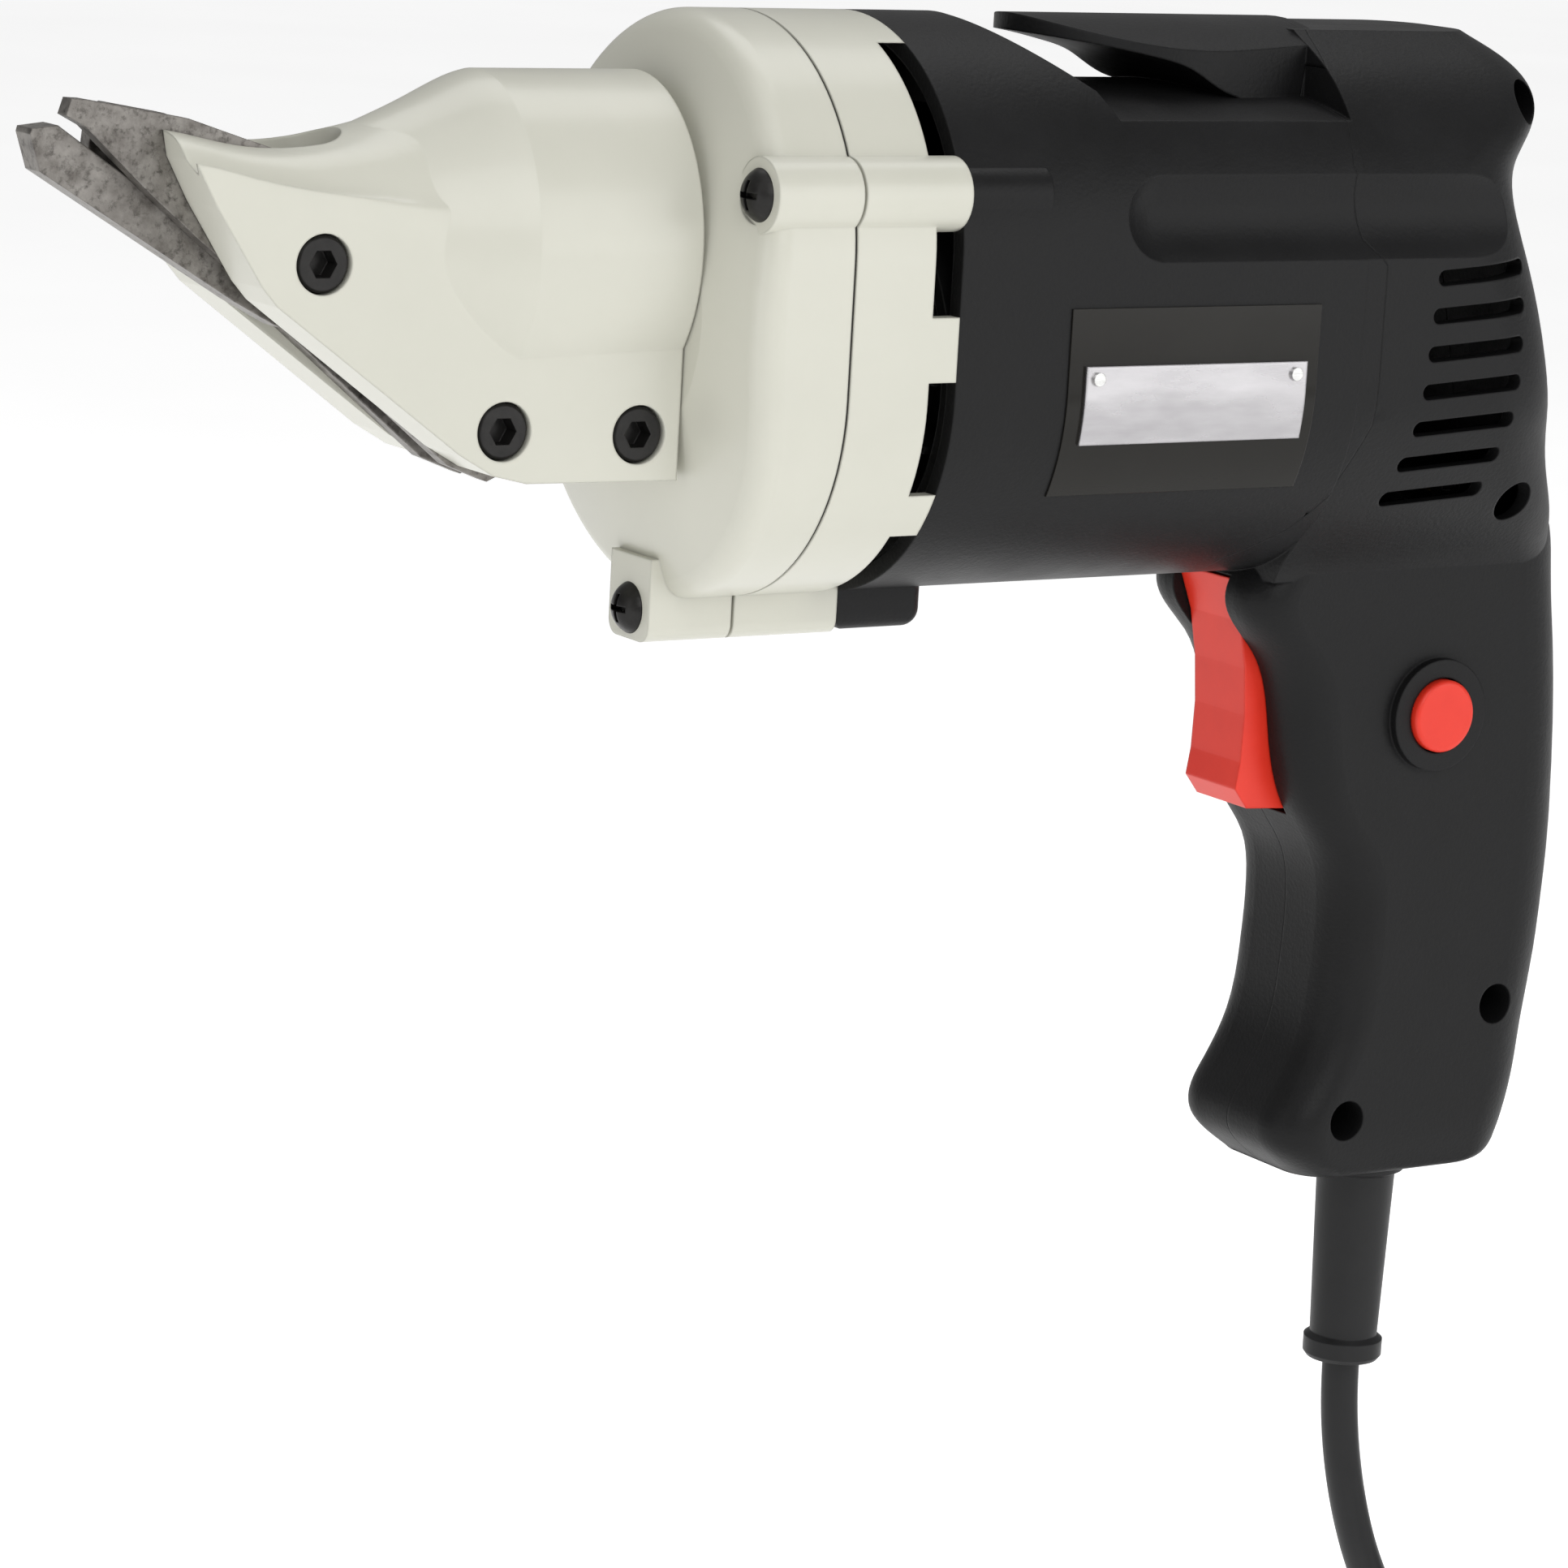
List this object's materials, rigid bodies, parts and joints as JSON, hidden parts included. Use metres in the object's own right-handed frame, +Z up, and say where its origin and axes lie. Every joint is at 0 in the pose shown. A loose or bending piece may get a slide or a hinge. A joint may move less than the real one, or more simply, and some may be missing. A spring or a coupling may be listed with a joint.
{
  "type": "electric double-cut metal shear",
  "caption": "Corded pistol-grip metal shear with a swivelling double-cut head, belt hook, trigger, lock button and a coiled power cord.",
  "frame": {"origin": "middle of the pistol grip, on the tool's middle plane", "axes": "-X towards the cutting nose along the motor, +Z up from the grip to the motor, the lock button faces -Y"},
  "size_m": [0.4346, 0.1052, 0.3148],
  "materials": {
    "case_paint": "gloss",
    "black_plastic": "satin",
    "red_plastic": "satin",
    "blade_steel": "satin",
    "black_oxide": "satin",
    "bright_steel": "satin",
    "core_steel": "matte",
    "copper": "satin",
    "brass": "satin",
    "rubber": "matte",
    "gasket_paper": "matte",
    "carbon": "matte",
    "label_gloss": "gloss",
    "plate_silver": "satin",
    "switch_plastic": "matte",
    "capacitor_shell": "satin"
  },
  "bodies": {
    "tool_body": {"gear_case_front": "case_paint", "gear_case_gasket": "gasket_paper", "gear_case_rear": "case_paint", "bearing_plate": "bright_steel", "motor_housing": "black_plastic", "handle_left": "black_plastic", "handle_right": "black_plastic", "case_screws": "black_oxide", "handle_screws": "black_oxide", "label_panel": "label_gloss", "nameplate": "plate_silver", "nameplate_rivets": "bright_steel", "stator_core": "core_steel", "field_coils": "copper", "fan_baffle": "black_plastic", "brush_holders": "brass", "carbon_brushes": "carbon", "brush_springs": "bright_steel", "front_bearing": "bright_steel", "rear_bearing": "bright_steel", "bearing_sleeve": "rubber", "needle_bearing": "bright_steel", "gear_shaft_bushing": "brass", "switch_body": "switch_plastic", "trigger_spring": "bright_steel", "lock_spring": "bright_steel", "suppression_capacitor": "capacitor_shell", "supply_leads": "copper", "cord_clamp": "black_plastic", "cord_clamp_screws": "bright_steel", "strain_relief": "rubber", "power_cord": "rubber", "cord_coil": "rubber", "cord_tail": "rubber", "plug_body": "rubber", "plug_blades": "bright_steel"},
    "cutting_head": {"head_housing": "case_paint", "side_knife_left": "blade_steel", "side_knife_right": "blade_steel", "blade_bushing": "bright_steel", "knife_spacer": "bright_steel", "blade_bolt": "black_oxide", "knife_bolt": "black_oxide", "clamp_bolt": "black_oxide"},
    "blade": {"centre_blade": "blade_steel"},
    "rotor": {"armature_shaft": "bright_steel", "armature_core": "core_steel", "winding_front": "copper", "winding_rear": "copper", "commutator": "copper", "cooling_fan": "black_plastic"},
    "gear_shaft": {"eccentric_shaft": "bright_steel", "drive_gear": "bright_steel", "gear_key": "bright_steel", "eccentric_roller": "bright_steel"},
    "trigger_body": {"trigger": "red_plastic"},
    "button_body": {"lock_button": "red_plastic"}
  },
  "joints": [
    {"name": "head_swivel", "type": "hinge", "parent": "tool_body", "child": "cutting_head", "pos_m": [-0.17, 0, 0.118], "axis": [-1, 0, 0], "range_deg": [-180, 180]},
    {"name": "blade_rock", "type": "hinge", "parent": "cutting_head", "child": "blade", "pos_m": [-0.222, 0, 0.118], "axis": [0, 1, 0], "range_deg": [-2.3, 2.3]},
    {"name": "rotor_spin", "type": "hinge", "parent": "tool_body", "child": "rotor", "pos_m": [-0.09, 0, 0.1], "axis": [-1, 0, 0], "continuous": true},
    {"name": "gear_spin", "type": "hinge", "parent": "tool_body", "child": "gear_shaft", "pos_m": [-0.15, 0, 0.118], "axis": [-1, 0, 0], "continuous": true},
    {"name": "trigger_pull", "type": "slide", "parent": "tool_body", "child": "trigger_body", "axis": [1, 0, 0], "range_m": [0, 0.005], "stiffness_N_per_m": 900, "springref_m": -0.004, "deforming": ["trigger_spring"]},
    {"name": "lock_press", "type": "slide", "parent": "tool_body", "child": "button_body", "axis": [0, 1, 0], "range_m": [0, 0.0025], "stiffness_N_per_m": 700, "springref_m": -0.003, "deforming": ["lock_spring"]}
  ],
  "couplings": [
    {"joint": "gear_spin", "follows": "rotor_spin", "ratio": -0.18421}
  ]
}
